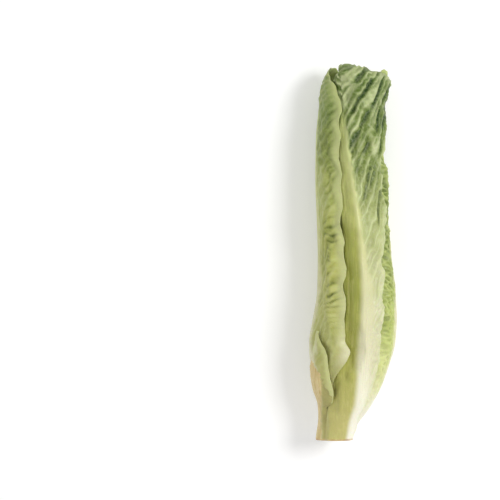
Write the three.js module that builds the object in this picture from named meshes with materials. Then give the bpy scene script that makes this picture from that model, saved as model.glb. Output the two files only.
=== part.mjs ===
// A romaine lettuce heart lying on its side, in millimetres. Y runs along the head from the cut
// stem (-Y) to the leaf tips (+Y), X is its width, and Z points up from the surface it lies on.
// Every leaf is a closed thin shell wrapped round the head's middle line. The leaves are laid from
// the outside in: each one takes the room that the leaves outside it have left.
import * as THREE from 'three';

// ---------- driving sizes ----------
const LENGTH = 237; // cut face to the highest leaf tip
const BLADE = 0.95; // a leaf's thickness away from its midrib
const GAP = 0.45; // free space between two leaves
const STEEPEST = 0.8; // how fast the room may widen past a leaf's margin, mm per mm
const ANGLE_STEPS = 144; // the room's grid round the head
const HEIGHT_STEP = 2; // the room's grid along the head
const FLAT_WIDTH = 7; // half the width of the flat that the head rests on
const FLAT_RISE = 0.3; // how fast the cut rises beside that flat, mm per mm
const TUCK_WIDTH = 13; // how far from its margin a tucked-in blade bends down
const FOLD_START = 5.5; // the folds set in over this far beyond the midrib
const SMOOTH_BASE = 20; // a blade has no folds this far up from its base,
const FOLDS_GROWN = 50; // and has them in full this much further up
const FOLDS_SPREAD = 150; // the height from which the folds lean further out,
const FOLDS_TURN = 0.0025; // and how quickly they do, per mm
const FOLDS_ACROSS = 0.85; // how closely the folds lie, going out from the midrib
const FOLDS_ALONG = 0.4; // and going up the leaf
const EVEN_MARGIN = 55; // a margin has no waves this far up from its base,
const WAVES_GROWN = 40; // and has them in full this much further up
const LEFT_SHIFT = 7; // how much lower the waves of a left margin lie than those of a right one
const TIP_POWER = 2.4; // how squarely a leaf's tip is rounded
const CURL_LENGTH = 45; // how far below its tip a leaf begins to curl in over the heart
const RELIEF_SHARE = 0.3; // the most of the radius that a leaf's relief takes,
const THICK_SHARE = 0.3; // and its thickness

// The folds are a narrow wave that sways to and fro, over a broad one: shares of their full depth,
// radians per mm of slant, and radians per mm across and along the leaf.
const NARROW_FOLDS = { share: 0.3, rate: 0.62, sway: 1.1, swayAlong: 0.06, swayAcross: 0.11 };
const BROAD_FOLDS = { share: 0.2, rate: 0.27, across: 0.13, start: 1.7 };

// The waves of a margin, short ones over long ones: degrees of swing, and radians per mm.
const SHORT_WAVES = { swing: 2.6, rate: 0.31 };
const LONG_WAVES = { swing: 1.4, rate: 0.13 };

// The whole head's outline: [height above the cut, left edge x, right edge x, underside z, top z].
// An underside below 0 is cut off where the head lies on the surface.
const OUTLINE = [
  [0, -23.4, 0.4, 10.4, 33.6],
  [6, -22.7, 2.6, 9.4, 34.8],
  [13, -21.9, 6.0, 7.9, 36.8],
  [22, -22.4, 12.2, 5.2, 40.2],
  [32, -25.5, 18.0, 2.8, 43.0],
  [45, -27.3, 23.0, 0.4, 46.0],
  [60, -27.6, 27.5, -1.3, 48.8],
  [75, -25.2, 28.6, -1.6, 50.0],
  [93, -22.4, 28.0, -1.6, 50.0],
  [114, -22.0, 25.6, -1.5, 49.0],
  [136, -22.6, 24.4, -1.5, 48.0],
  [164, -23.6, 22.8, -1.4, 47.0],
  [184, -23.4, 21.4, -1.0, 45.6],
  [205, -22.4, 21.6, 0.4, 43.0],
  [213, -22.0, 24.2, 1.8, 41.6],
  [222, -20.8, 26.6, 4.0, 38.6],
  [229, -18.0, 25.0, 7.0, 35.4],
  [235, -12.5, 19.0, 11.0, 31.0],
  [LENGTH, -8.0, 14.0, 13.5, 27.5],
];

// Leaf angles are in degrees round the head: 0 is the right side (+X), 90 the top, 270 the underside.
// right and left are the leaf's margins, rib is the line of its midrib. Lists are [height, value].
const TRIMMED_LEAF = {
  name: 'leaf_trimmed',
  base: 0,
  tip: 68,
  droop: 0,
  rib: [[0, 168], [45, 160], [68, 154]],
  right: [[0, 132], [12, 141], [20, 142], [24, 120], [28, 119], [39, 125], [53, 133], [68, 150]],
  left: [[0, 197], [20, 198], [36, 191], [46, 178], [53, 164], [68, 155]],
  curl: 0,
  ribSize: [[0, 5]],
  keel: [[0, 0]],
  groove: 2,
  tuck: [[0, 0], [20, 0.4], [30, 1.6], [50, 1.4], [68, 0.4]],
  ribDepth: [[0, 0.9], [30, 1.2], [44, 0.2], [68, 0]],
  folds: [[0, 0.2]],
  rows: 14,
  columns: 6,
};

const LEFT_LEAF = {
  name: 'leaf_left',
  base: 0,
  tip: 233,
  droop: 14,
  curl: 1.5,
  rib: [[0, 196], [60, 192], [120, 190], [190, 194], [233, 202]],
  right: [[0, 168], [14, 166], [22, 160], [27, 148], [32, 128], [38, 118], [44, 108], [49, 99.5],
    [53, 96.5], [56, 97], [61, 106], [75, 109.5], [87, 112.5], [97, 114], [121, 114.5], [150, 113],
    [190, 113], [203, 115], [211, 122], [220, 136], [229, 152]],
  left: [[0, 222], [45, 224], [120, 222], [190, 224], [233, 234]],
  ribSize: [[0, 7], [50, 8], [120, 6], [233, 2]],
  keel: [[0, 0.6], [40, 1.2], [90, 1.4], [150, 1.2], [233, 0.5]],
  groove: 1.5,
  tuck: [[0, 0], [38, 1.5], [55, 4], [105, 4.2], [150, 2.6], [200, 1.4], [233, 0.6]],
  ribDepth: [[0, 1], [20, 2.4], [50, 4.2], [90, 3.6], [130, 2.6], [180, 1.3], [233, 0.3]],
  folds: [[0, 1.8]],
  rows: 32,
  columns: 14,
};

const FRONT_LEAF = {
  name: 'leaf_front',
  base: 0,
  tip: 234,
  droop: 12,
  curl: 0.8,
  rib: [[0, 46], [9, 57], [19, 65], [38, 73], [62, 80], [87, 84], [105, 84.5], [127, 85.5],
    [148, 90], [164, 94], [174, 97], [191, 104], [203, 112], [216, 126], [229, 145]],
  right: [[0, -6], [6, 10], [10, 26], [17, 38], [24, 42], [38, 42.5], [47, 44.5], [56, 48], [68, 50.5],
    [87, 51.5], [105, 49], [121, 41], [136, 36], [149, 34.5], [163, 38], [172, 35], [180, 22], [186, 2],
    [193, -14], [208, -18], [225, -4]],
  left: [[0, 174], [20, 172], [45, 168], [75, 168], [120, 172], [160, 178], [190, 184],
    [210, 180], [225, 170]],
  ribSize: [[0, 9], [20, 10.5], [45, 10.5], [87, 8.6], [130, 7.5], [165, 5], [195, 2.8], [230, 1.6]],
  ribRight: [[0, 4], [40, 4.6], [87, 5], [110, 4], [130, 3.2], [152, 2.4], [175, 2], [205, 1.5], [230, 1.2]],
  keel: [[0, 0.2], [16, 0.7], [26, 2], [45, 4.2], [87, 5.8], [130, 5], [165, 3.4], [195, 1.6],
    [230, 0.5]],
  keelRight: [[0, 0.6], [45, 1], [100, 1.2], [150, 1.8], [195, 1.2], [230, 0.4]],
  groove: 1.42,
  tuck: [[0, 0]],
  ribDepth: [[0, 1.6], [20, 3.4], [50, 6], [90, 5], [130, 3.6], [170, 1.8], [200, 0.7], [230, 0.2]],
  folds: [[0, 2.3], [165, 2.3], [200, 3.6], [225, 3]],
  rows: 46,
  columns: 24,
};

const UNDER_LEAF = {
  name: 'leaf_under',
  base: 0,
  tip: 229,
  droop: 28,
  curl: 2,
  rib: [[0, 266], [55, 270], [195, 270], [229, 256]],
  right: [[0, 224], [20, 206], [45, 178], [75, 166], [120, 160], [180, 162], [215, 168],
    [229, 180]],
  left: [[0, 322], [20, 325], [50, 322], [100, 334], [150, 342], [190, 340], [215, 334],
    [229, 322]],
  ribSize: [[0, 8], [50, 9], [165, 9], [229, 3]],
  keel: [[0, 0.6], [30, 1.4], [56, 1.6], [64, 0], [163, 0], [171, 1.2], [229, 0.5]],
  groove: 1.6,
  tuck: [[0, 0]],
  ribDepth: [[0, 1.4], [20, 3], [50, 5.2], [90, 4.6], [130, 3.2], [180, 1.5], [229, 0.3]],
  folds: [[0, 1.8]],
  rows: 28,
  columns: 14,
};

const RIGHT_LEAF = {
  name: 'leaf_right',
  base: 0,
  tip: 231,
  droop: 18,
  curl: 1.4,
  rib: [[0, 346], [60, 342], [190, 340], [231, 352]],
  right: [[0, 316], [20, 302], [50, 286], [100, 276], [150, 270], [190, 272], [218, 280],
    [231, 292]],
  left: [[0, 376], [20, 404], [50, 425], [90, 432], [140, 436], [185, 432], [215, 424],
    [231, 410]],
  ribSize: [[0, 7], [50, 8], [120, 6], [231, 2]],
  keel: [[0, 0.6], [40, 1.6], [90, 2.6], [150, 2], [231, 0.6]],
  groove: 1.5,
  tuck: [[0, 0]],
  ribDepth: [[0, 1.2], [20, 2.8], [50, 4.8], [90, 4.2], [130, 3], [180, 1.4], [231, 0.3]],
  folds: [[0, 2.1]],
  rows: 30,
  columns: 16,
};

// The inner leaves follow the plant's spiral from the right-hand leaf on, between these two. Their
// margins lie span degrees to each side of the midrib.
const INNER_LEAVES = 8;
const SPIRAL_START = 345;
const SPIRAL_STEP = 137.5;
const INNER_FIRST = { base: 10, tip: 233, span: 76, ribSize: 7, ribDepth: 2.6, folds: 0.9, curl: 2 };
const INNER_LAST = { base: 36, tip: 202, span: 66, ribSize: 4, ribDepth: 1, folds: 0.5, curl: 0 };
const TIP_STAGGER = 4; // every third inner leaf is as long as its neighbours, the next two shorter

// The stem: [height, radius].
const STEM = [[0, 7.6], [5, 7.4], [10, 5.2], [16, 4.4], [28, 2.8], [40, 1.2]];
const STEM_TIP = 44;
const STEM_HEIGHTS = [0, 2.5, 5, 7.5, 10, 13, 17, 22, 28, 34, 40];
const STEM_SIDES = 24;

const GREEN = 0x9dae68;
const YELLOW_GREEN = 0xc6d088;
const PALE_YELLOW = 0xdcdca0;
const CREAM = 0xe9e6c8;

// ---------- small helpers ----------
const radians = (degrees) => (degrees * Math.PI) / 180;
const clamp = (x, low, high) => Math.min(Math.max(x, low), high);
const smooth = (x) => x * x * (3 - 2 * x);
const bell = (x) => Math.exp(-x * x);

// A smooth curve through [x, y] points, level beyond both ends. It never overshoots its points.
function curve(points) {
  const steps = points.slice(1).map((p, i) => (p[1] - points[i][1]) / (p[0] - points[i][0]));
  const slopes = points.map((p, i) => {
    const before = steps[i - 1];
    const after = steps[i];
    if (before === undefined || after === undefined || before * after <= 0) return 0;
    return (2 * before * after) / (before + after);
  });
  return (x) => {
    const last = points.length - 1;
    if (x <= points[0][0]) return points[0][1];
    if (x >= points[last][0]) return points[last][1];
    const i = points.findIndex((p) => p[0] > x) - 1;
    const width = points[i + 1][0] - points[i][0];
    const t = (x - points[i][0]) / width;
    const bend = t * (1 - t) * width * (slopes[i] * (1 - t) - slopes[i + 1] * t);
    return points[i][1] + (points[i + 1][1] - points[i][1]) * smooth(t) + bend;
  };
}

const [leftEdge, rightEdge, underside, topside] = [1, 2, 3, 4].map((column) =>
  curve(OUTLINE.map((row) => [row[0], row[column]])));

const stemRadius = curve([...STEM, [STEM_TIP, 0]]);

// The middle line of the head at a height.
const middle = (height) => [
  (leftEdge(height) + rightEdge(height)) / 2,
  (underside(height) + topside(height)) / 2,
];

// How far the head's outline lies from its middle line: an ellipse, cut off flat where it rests.
function outlineRadius(angle, height) {
  const [c, s] = [Math.cos(radians(angle)), Math.sin(radians(angle))];
  const halfWidth = (rightEdge(height) - leftEdge(height)) / 2;
  const halfDepth = (topside(height) - underside(height)) / 2;
  const ellipse = 1 / Math.hypot(c / halfWidth, s / halfDepth);
  if (s >= 0) return ellipse;
  const up = middle(height)[1];
  const flat = up / -s;
  const beside = (up + FLAT_RISE * FLAT_WIDTH) / (FLAT_RISE * Math.abs(c) - s);
  return Math.min(ellipse, flat, beside);
}

// ---------- the room inside the head ----------
// A grid round and along the head of how deep under the outline the leaves laid so far reach.
const HEIGHTS = Math.floor(LENGTH / HEIGHT_STEP) + 2;
const ANGLE_STEP = 360 / ANGLE_STEPS;
const cell = (i, j) => {
  const round = ((i % ANGLE_STEPS) + ANGLE_STEPS) % ANGLE_STEPS;
  return round + ANGLE_STEPS * clamp(j, 0, HEIGHTS - 1);
};

const USUAL_DEPTH = 4; // how deep under the outline most leaves lie
const LEAST_RADIUS = 3;
const USUAL_RADIUS = 22;

// The deepest that the taken depth gets within a reach of a place.
function takenNear(taken, angle, height, angleReach, heightReach) {
  const from = [(angle - angleReach) / ANGLE_STEP, (height - heightReach) / HEIGHT_STEP];
  const to = [(angle + angleReach) / ANGLE_STEP, (height + heightReach) / HEIGHT_STEP];
  let deepest = 0;
  for (let j = Math.floor(from[1]); j <= Math.ceil(to[1]); j += 1) {
    for (let i = Math.floor(from[0]); i <= Math.ceil(to[0]); i += 1) {
      deepest = Math.max(deepest, taken[cell(i, j)]);
    }
  }
  return deepest;
}

// The taken depth falls off only gently, so that no leaf is pulled sharply out past a margin.
function soften(taken) {
  const pass = (i, j, di, dj) => {
    const radius = outlineRadius(i * ANGLE_STEP, j * HEIGHT_STEP) - USUAL_DEPTH;
    const step = di ? radians(ANGLE_STEP) * Math.max(radius, LEAST_RADIUS) : HEIGHT_STEP;
    const here = cell(i, j);
    taken[here] = Math.max(taken[here], taken[cell(i + di, j + dj)] - STEEPEST * step);
  };
  for (const way of [1, -1]) {
    for (let a = 0; a < HEIGHTS; a += 1) {
      const j = way > 0 ? a : HEIGHTS - 1 - a;
      for (let b = 0; b < 2 * ANGLE_STEPS; b += 1) pass(way * b, j, -way, 0);
      for (let b = 0; b < 2 * ANGLE_STEPS; b += 1) pass(-way * b, j, way, 0);
      for (let i = 0; i < ANGLE_STEPS; i += 1) pass(i, j + way, 0, -way);
    }
  }
}

// ---------- leaves ----------
// Turns a leaf's lists into curves.
function readLeaf(leaf) {
  const curves = {};
  for (const key of Object.keys(leaf)) {
    if (Array.isArray(leaf[key])) curves[key] = curve(leaf[key]);
  }
  return { ribRight: curves.ribSize, keelRight: curves.keel, ...leaf, ...curves };
}

// Folds that run up and away from the midrib, steeply at first and at half a right angle near the
// tips: 0 (level with the leaf's even surface) to 1 (deepest).
function folds(across, height) {
  const turn = Math.max(0, height - FOLDS_SPREAD) ** 2 * FOLDS_TURN;
  const slant = FOLDS_ACROSS * Math.abs(across) - FOLDS_ALONG * height - turn;
  const { sway, swayAlong, swayAcross } = NARROW_FOLDS;
  const swayed = slant * NARROW_FOLDS.rate + sway * Math.sin(height * swayAlong + across * swayAcross);
  const broad = Math.sin(slant * BROAD_FOLDS.rate + across * BROAD_FOLDS.across + BROAD_FOLDS.start);
  return 0.5 - NARROW_FOLDS.share * Math.sin(swayed) - BROAD_FOLDS.share * broad;
}

// How deep a leaf's outer face lies under the outline, and how thick the leaf is there. The midrib
// stands out as a keel, with a groove along its foot, and the blade beyond it is folded. A margin
// may be tucked in. across is the way from the midrib, and inward the way from the right margin.
function relief(leaf, across, inward, height, under, radius) {
  const [side, keel] = across < 0
    ? [leaf.ribRight(height), leaf.keelRight(height)]
    : [leaf.ribSize(height), leaf.keel(height)];
  const ridge = bell(across / side);
  const beyond = clamp((Math.abs(across) - side) / FOLD_START, 0, 1);
  const grown = clamp((height - leaf.base - SMOOTH_BASE) / FOLDS_GROWN, 0, 1);
  const foot = (across / side / leaf.groove) ** 2;
  const tuck = leaf.tuck(height) * smooth(clamp(1 - inward / TUCK_WIDTH, 0, 1));
  const free = Math.max(under, keel * foot * Math.exp(1 - foot) + tuck);
  const fold = leaf.folds(height) * smooth(beyond) * smooth(grown) * folds(across, height);
  const curl = leaf.curl * smooth(clamp((height - leaf.tip) / CURL_LENGTH + 1, 0, 1));
  const thickness = BLADE + leaf.ribDepth(height) * ridge;
  const deepest = under + radius * RELIEF_SHARE;
  return [Math.min(free + fold + curl, deepest), Math.min(thickness, radius * THICK_SHARE)];
}

// How far a waved margin swings out, in degrees.
const wave = (height, leaf) => {
  const grown = clamp((height - leaf.base - EVEN_MARGIN) / WAVES_GROWN, 0, 1);
  const short = SHORT_WAVES.swing * Math.sin(height * SHORT_WAVES.rate + leaf.tip);
  const long = LONG_WAVES.swing * Math.sin(height * LONG_WAVES.rate);
  return smooth(grown) * (short + long);
};

// The leaf's grid: for each point its angle, its height and the depths of its two faces.
function layLeaf(leaf, taken) {
  const { rows, columns } = leaf;
  const grid = [];
  for (let j = 0; j <= rows; j += 1) {
    for (let i = 0; i <= columns; i += 1) {
      const u = (2 * i) / columns - 1;
      const top = leaf.tip - leaf.droop * Math.abs(u) ** TIP_POWER;
      const height = leaf.base + (j / rows) * (top - leaf.base);
      const rib = leaf.rib(height);
      const right = leaf.right(height) - wave(height, leaf);
      const left = leaf.left(height) + wave(height + LEFT_SHIFT, leaf);
      const angle = u < 0 ? rib + u * (rib - right) : rib + u * (left - rib);
      const reach = [(left - right) / columns / 2, (top - leaf.base) / rows / 2];
      const under = takenNear(taken, angle, height, ...reach);
      const radius = outlineRadius(angle, height) - under;
      const across = radians(angle - rib) * radius;
      const inward = radians(angle - right) * radius;
      const [outer, thickness] = relief(leaf, across, inward, height, under, radius);
      const spare = radius + under - outer - stemRadius(height) - GAP;
      const thick = clamp(thickness, BLADE, Math.max(spare, BLADE));
      grid.push({ angle, height, outer, inner: outer + thick });
    }
  }
  return grid;
}

// Marks what a triangle of the leaf's inner face takes, with a gap under it.
function takeTriangle(taken, a, b, c) {
  const [bx, by] = [b.angle - a.angle, b.height - a.height];
  const [cx, cy] = [c.angle - a.angle, c.height - a.height];
  const area = bx * cy - cx * by;
  const [left, right] = [Math.min(0, bx, cx) + a.angle, Math.max(0, bx, cx) + a.angle];
  const [low, high] = [Math.min(0, by, cy) + a.height, Math.max(0, by, cy) + a.height];
  const sag = (1 - Math.cos(radians(right - left) / 2)) * USUAL_RADIUS;
  for (let j = Math.floor(low / HEIGHT_STEP); j <= Math.ceil(high / HEIGHT_STEP); j += 1) {
    for (let i = Math.floor(left / ANGLE_STEP); i <= Math.ceil(right / ANGLE_STEP); i += 1) {
      const [x, y] = [i * ANGLE_STEP - a.angle, j * HEIGHT_STEP - a.height];
      const p = clamp((x * cy - y * cx) / area, 0, 1);
      const q = clamp((y * bx - x * by) / area, 0, 1 - p);
      const outside = [(x - p * bx - q * cx) / ANGLE_STEP, (y - p * by - q * cy) / HEIGHT_STEP];
      if (Math.hypot(...outside) >= 1) continue;
      const depth = a.inner + p * (b.inner - a.inner) + q * (c.inner - a.inner);
      taken[cell(i, j)] = Math.max(taken[cell(i, j)], depth + sag + GAP);
    }
  }
}

function takeLeaf(leaf, grid, taken) {
  const width = leaf.columns + 1;
  for (let j = 0; j < leaf.rows; j += 1) {
    for (let i = 0; i < leaf.columns; i += 1) {
      const at = j * width + i;
      const [a, b, c, d] = [grid[at], grid[at + 1], grid[at + width + 1], grid[at + width]];
      takeTriangle(taken, a, b, c);
      takeTriangle(taken, a, c, d);
    }
  }
  soften(taken);
}

// The point at an angle and a height, so deep under the outline.
const place = (angle, height, depth) => {
  const [x, z] = middle(height);
  const radius = outlineRadius(angle, height) - depth;
  return [x + radius * Math.cos(radians(angle)), height, z + radius * Math.sin(radians(angle))];
};

function solid(name, points, faces, colour, roughness) {
  const geometry = new THREE.BufferGeometry();
  geometry.setAttribute('position', new THREE.Float32BufferAttribute(points.flat(), 3));
  geometry.setIndex(faces.flat());
  geometry.computeVertexNormals();
  const material = new THREE.MeshStandardMaterial({ color: colour, roughness, metalness: 0 });
  const mesh = new THREE.Mesh(geometry, material);
  mesh.name = name;
  return mesh;
}

// The closed shell between a leaf's two faces. Both faces are split into triangles alike.
function leafMesh(leaf, grid) {
  const { rows, columns } = leaf;
  const width = columns + 1;
  const count = width * (rows + 1);
  const outer = grid.map((p) => place(p.angle, p.height, p.outer));
  const inner = grid.map((p) => place(p.angle, p.height, p.inner));
  const faces = [];
  for (let j = 0; j < rows; j += 1) {
    for (let i = 0; i < columns; i += 1) {
      const a = j * width + i;
      const [b, c, d] = [a + 1, a + width + 1, a + width];
      faces.push([a, d, c], [a, c, b]);
      faces.push([a + count, c + count, d + count], [a + count, b + count, c + count]);
    }
  }
  const rim = (a, b) => faces.push([a, b, b + count], [a, b + count, a + count]);
  for (let i = 0; i < columns; i += 1) {
    rim(i, i + 1);
    rim(rows * width + i + 1, rows * width + i);
  }
  for (let j = 0; j < rows; j += 1) {
    rim((j + 1) * width, j * width);
    rim(j * width + columns, (j + 1) * width + columns);
  }
  return solid(leaf.name, [...outer, ...inner], faces, leaf.colour, 0.5);
}

// An inner leaf: smaller, thinner and attached higher up the stem than the one before it.
function innerLeaf(index) {
  const share = index / (INNER_LEAVES - 1);
  const between = (key) => INNER_FIRST[key] + share * (INNER_LAST[key] - INNER_FIRST[key]);
  const [base, span, deep, ribSize] = ['base', 'span', 'ribDepth', 'ribSize'].map(between);
  const tip = between('tip') - TIP_STAGGER * (index % 3);
  const rib = SPIRAL_START + SPIRAL_STEP * (index + 1);
  const margin = (side) => [
    [base, rib + side * 44], [base + 30, rib + side * (span - 14)],
    [base + 90, rib + side * span], [tip - 40, rib + side * span], [tip, rib + side * span * 0.7],
  ];
  return {
    name: `leaf_inner_${index + 1}`,
    base,
    tip,
    droop: 22,
    curl: between('curl'),
    rib: [[base, rib], [tip, rib + 8]],
    right: margin(-1),
    left: margin(1),
    ribSize: [[base, ribSize], [base + 60, ribSize], [tip, 1.5]],
    keel: [[base, 0.2], [base + 50, 0.8], [tip, 0.3]],
    groove: 1.5,
    tuck: [[base, 0]],
    ribDepth: [[base, deep * 0.6], [base + 25, deep], [base + 90, deep * 0.6], [tip, 0.1]],
    folds: [[base, between('folds')]],
    rows: 18,
    columns: 8,
    colour: share < 0.5 ? YELLOW_GREEN : PALE_YELLOW,
  };
}

// The stem core, in the room that all the leaves have left.
function stemCore(taken) {
  const points = [];
  const faces = [];
  STEM_HEIGHTS.forEach((height, j) => {
    for (let i = 0; i < STEM_SIDES; i += 1) {
      const angle = (i * 360) / STEM_SIDES;
      const outline = outlineRadius(angle, height);
      const free = outline - takenNear(taken, angle, height, 180 / STEM_SIDES, 3);
      points.push(place(angle, height, outline - Math.min(stemRadius(height), free)));
      if (j === 0) continue;
      const next = (i + 1) % STEM_SIDES;
      const [a, b] = [(j - 1) * STEM_SIDES + i, (j - 1) * STEM_SIDES + next];
      faces.push([a, a + STEM_SIDES, b + STEM_SIDES], [a, b + STEM_SIDES, b]);
    }
  });
  const last = (STEM_HEIGHTS.length - 1) * STEM_SIDES;
  const butt = points.length;
  for (const height of [0, STEM_TIP]) points.push(place(0, height, outlineRadius(0, height)));
  for (let i = 0; i < STEM_SIDES; i += 1) {
    const next = (i + 1) % STEM_SIDES;
    faces.push([butt, i, next], [butt + 1, last + next, last + i]);
  }
  return solid('stem_core', points, faces, CREAM, 0.6);
}

// ---------- the head ----------
const leaves = [
  { ...TRIMMED_LEAF, colour: YELLOW_GREEN },
  { ...LEFT_LEAF, colour: GREEN },
  { ...FRONT_LEAF, colour: GREEN },
  { ...UNDER_LEAF, colour: GREEN },
  { ...RIGHT_LEAF, colour: YELLOW_GREEN },
  ...Array.from({ length: INNER_LEAVES }, (_, index) => innerLeaf(index)),
].map(readLeaf);

const head = new THREE.Group();
const taken = new Float64Array(ANGLE_STEPS * HEIGHTS);
for (const leaf of leaves) {
  const grid = layLeaf(leaf, taken);
  takeLeaf(leaf, grid, taken);
  head.add(leafMesh(leaf, grid));
}
head.add(stemCore(taken));

// The origin is the middle of the head's box, on the surface it lies on.
const box = new THREE.Box3().setFromObject(head);
const centre = box.getCenter(new THREE.Vector3());
for (const mesh of head.children) mesh.geometry.translate(-centre.x, -centre.y, 0);

export default head;
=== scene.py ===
"""A romaine lettuce heart lying on its side, seen from straight above.

The leaves are laid as the solid model lays them, from the outside in: each takes the room that the
leaves outside it have left. A fine grid is then drawn through each leaf's coarse one, and given its
veins, blisters, ruffled margins and colours by formula. Heights and sizes are in millimetres until a
mesh is made; the scene is in metres.
"""

from types import SimpleNamespace as Named

import bpy
import numpy as np
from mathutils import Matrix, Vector


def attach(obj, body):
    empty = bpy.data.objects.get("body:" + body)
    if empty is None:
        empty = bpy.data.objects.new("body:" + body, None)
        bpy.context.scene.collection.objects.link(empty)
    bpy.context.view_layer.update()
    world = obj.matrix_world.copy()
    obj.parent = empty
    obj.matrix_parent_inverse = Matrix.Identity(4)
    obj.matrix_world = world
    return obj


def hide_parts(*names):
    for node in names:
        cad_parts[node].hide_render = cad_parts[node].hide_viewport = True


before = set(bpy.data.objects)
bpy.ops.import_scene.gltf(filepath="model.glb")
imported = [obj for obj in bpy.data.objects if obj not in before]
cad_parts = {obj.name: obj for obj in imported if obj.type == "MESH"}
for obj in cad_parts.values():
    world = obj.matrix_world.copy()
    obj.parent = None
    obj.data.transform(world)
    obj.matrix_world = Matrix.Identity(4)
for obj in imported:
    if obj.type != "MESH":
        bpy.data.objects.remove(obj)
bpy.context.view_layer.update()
MM = 0.001

# ---------- driving sizes, as in the solid model ----------
LENGTH = 237.0  # cut face to the highest leaf tip
BLADE = 0.95  # a leaf's thickness away from its midrib
GAP = 0.45  # free space between two leaves
STEEPEST = 0.8  # how fast the room may widen past a leaf's margin, mm per mm
ANGLE_STEPS = 144  # the room's grid round the head
HEIGHT_STEP = 2.0  # the room's grid along the head
FLAT_WIDTH = 7.0  # half the width of the flat that the head rests on
FLAT_RISE = 0.3  # how fast the cut rises beside that flat, mm per mm
TUCK_WIDTH = 13.0  # how far from its margin a tucked-in blade bends down
FOLD_START = 5.5  # the folds set in over this far beyond the midrib
SMOOTH_BASE = 20.0  # a blade has no folds this far up from its base,
FOLDS_GROWN = 50.0  # and has them in full this much further up
FOLDS_ACROSS = 0.85  # how closely the folds lie, going out from the midrib
FOLDS_ALONG = 0.4  # and going up the leaf
FOLDS_SPREAD = 150.0  # the height from which the folds lean further out,
FOLDS_TURN = 0.0025  # and how quickly they do, per mm
EVEN_MARGIN = 55.0  # a margin has no waves this far up from its base,
WAVES_GROWN = 40.0  # and has them in full this much further up
LEFT_SHIFT = 7.0  # how much lower the waves of a left margin lie than those of a right one
TIP_POWER = 2.4  # how squarely a leaf's tip is rounded
CURL_LENGTH = 45.0  # how far below its tip a leaf begins to curl in over the heart
RELIEF_SHARE = 0.3  # the most of the radius that a leaf's relief takes,
THICK_SHARE = 0.3  # and its thickness

# The folds are a narrow wave that sways to and fro, over a broad one: shares of their full depth,
# and radians per mm.
NARROW_FOLDS = Named(share=0.3, rate=0.62, sway=1.1, sway_along=0.06, sway_across=0.11)
BROAD_FOLDS = Named(share=0.2, rate=0.27, across=0.13, start=1.7)

# The waves of a margin, short ones over long ones: degrees of swing, and radians per mm.
SHORT_WAVES = Named(swing=2.6, rate=0.31)
LONG_WAVES = Named(swing=1.4, rate=0.13)

# The head's outline: [height above the cut, left edge x, right edge x, underside z, top z]. An
# underside below 0 is cut off where the head lies on the surface.
OUTLINE = [
    [0, -23.4, 0.4, 10.4, 33.6],
    [6, -22.7, 2.6, 9.4, 34.8],
    [13, -21.9, 6.0, 7.9, 36.8],
    [22, -22.4, 12.2, 5.2, 40.2],
    [32, -25.5, 18.0, 2.8, 43.0],
    [45, -27.3, 23.0, 0.4, 46.0],
    [60, -27.6, 27.5, -1.3, 48.8],
    [75, -25.2, 28.6, -1.6, 50.0],
    [93, -22.4, 28.0, -1.6, 50.0],
    [114, -22.0, 25.6, -1.5, 49.0],
    [136, -22.6, 24.4, -1.5, 48.0],
    [164, -23.6, 22.8, -1.4, 47.0],
    [184, -23.4, 21.4, -1.0, 45.6],
    [205, -22.4, 21.6, 0.4, 43.0],
    [213, -22.0, 24.2, 1.8, 41.6],
    [222, -20.8, 26.6, 4.0, 38.6],
    [229, -18.0, 25.0, 7.0, 35.4],
    [235, -12.5, 19.0, 11.0, 31.0],
    [LENGTH, -8.0, 14.0, 13.5, 27.5],
]

# Leaf angles are in degrees round the head: 0 is the right side (+X), 90 the top. right and left are
# the leaf's margins, rib is the line of its midrib. Lists are [height, value].
TRIMMED_LEAF = dict(
    name="leaf_trimmed", tip=68, droop=0, curl=0, groove=2, folds=[[0, 0.2]], rows=14,
    columns=6,
    rib=[[0, 168], [45, 160], [68, 154]],
    right=[[0, 132], [12, 141], [20, 142], [24, 120], [28, 119], [39, 125], [53, 133], [68, 150]],
    left=[[0, 197], [20, 198], [36, 191], [46, 178], [53, 164], [68, 155]],
    rib_size=[[0, 5]],
    keel=[[0, 0]],
    tuck=[[0, 0], [20, 0.4], [30, 1.6], [50, 1.4], [68, 0.4]],
    rib_depth=[[0, 0.9], [30, 1.2], [44, 0.2], [68, 0]],
)

LEFT_LEAF = dict(
    name="leaf_left", tip=233, droop=14, curl=1.5, folds=[[0, 1.8]], rows=32,
    columns=14,
    rib=[[0, 196], [60, 192], [120, 190], [190, 194], [233, 202]],
    right=[[0, 168], [14, 166], [22, 160], [27, 148], [32, 128], [38, 118], [44, 108], [49, 99.5],
           [53, 96.5], [56, 97], [61, 106], [75, 109.5], [87, 112.5], [97, 114], [121, 114.5],
           [150, 113], [190, 113], [203, 115], [211, 122], [220, 136], [229, 152]],
    left=[[0, 222], [45, 224], [120, 222], [190, 224], [233, 234]],
    rib_size=[[0, 7], [50, 8], [120, 6], [233, 2]],
    keel=[[0, 0.6], [40, 1.2], [90, 1.4], [150, 1.2], [233, 0.5]],
    tuck=[[0, 0], [38, 1.5], [55, 4], [105, 4.2], [150, 2.6], [200, 1.4], [233, 0.6]],
    rib_depth=[[0, 1], [20, 2.4], [50, 4.2], [90, 3.6], [130, 2.6], [180, 1.3], [233, 0.3]],
)

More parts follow.
